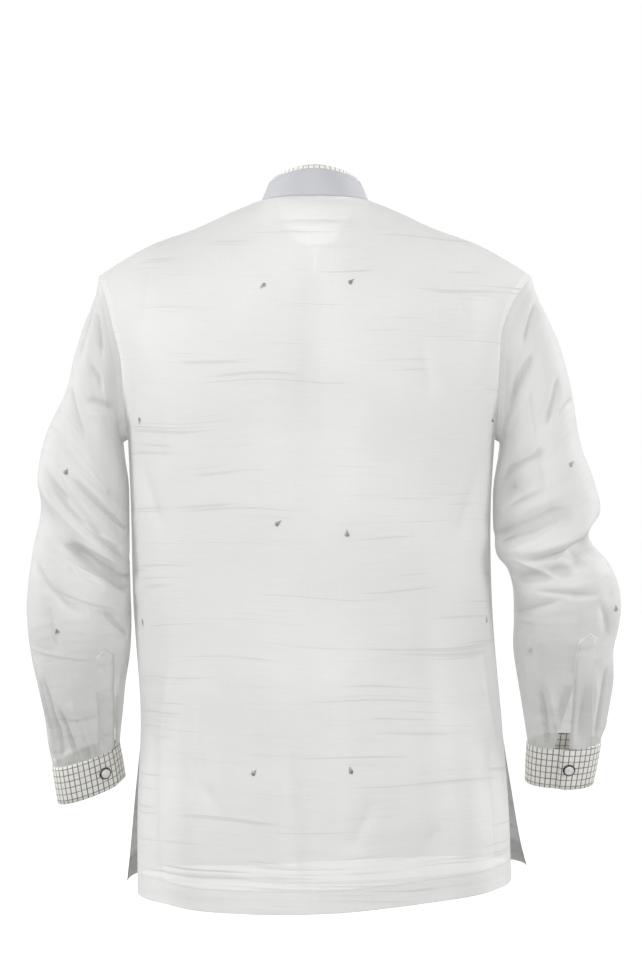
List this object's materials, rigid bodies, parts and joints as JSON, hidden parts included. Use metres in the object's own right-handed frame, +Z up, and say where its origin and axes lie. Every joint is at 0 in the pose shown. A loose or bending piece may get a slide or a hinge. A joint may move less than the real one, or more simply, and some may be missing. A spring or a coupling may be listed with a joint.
{
  "type": "barong tagalog shirt as worn with no wearer",
  "caption": "Sheer long-sleeved shirt with stand collar, side slits and buttoned cuffs, hollow and open as worn.",
  "frame": {"origin": "centre of the neck opening, where the wearer's neck and shoulders carry the shirt", "axes": "+Z up, -Y towards the front of the shirt, +Y towards its back, +X towards the wearer's left"},
  "size_m": [0.6555, 0.3032, 0.7969],
  "materials": {
    "sheer_cloth": "sheer ivory pina-like cloth with fine slubs",
    "checked_cloth": "ivory with a dark grey graph check",
    "grey_cloth": "matt blue-grey",
    "pearl": "pearly with a raised rim"
  },
  "bodies": {
    "root": {"back": "sheer_cloth", "front_left": "sheer_cloth", "front_right": "sheer_cloth", "hem_back": "sheer_cloth", "hem_front_left": "sheer_cloth", "hem_front_right": "sheer_cloth", "placket_over": "sheer_cloth", "placket_under": "sheer_cloth", "sleeve_left": "sheer_cloth", "sleeve_right": "sheer_cloth", "placket_sleeve_left": "sheer_cloth", "placket_sleeve_right": "sheer_cloth", "underlap_sleeve_left": "sheer_cloth", "underlap_sleeve_right": "sheer_cloth", "cuff_left": "checked_cloth", "cuff_right": "checked_cloth", "collar_outer": "grey_cloth", "collar_inner": "checked_cloth", "button_cuff_left": "pearl", "button_cuff_right": "pearl", "button_front_1": "pearl", "button_front_2": "pearl", "button_front_3": "pearl", "button_front_4": "pearl", "button_front_5": "pearl", "button_front_6": "pearl"}
  },
  "joints": []
}
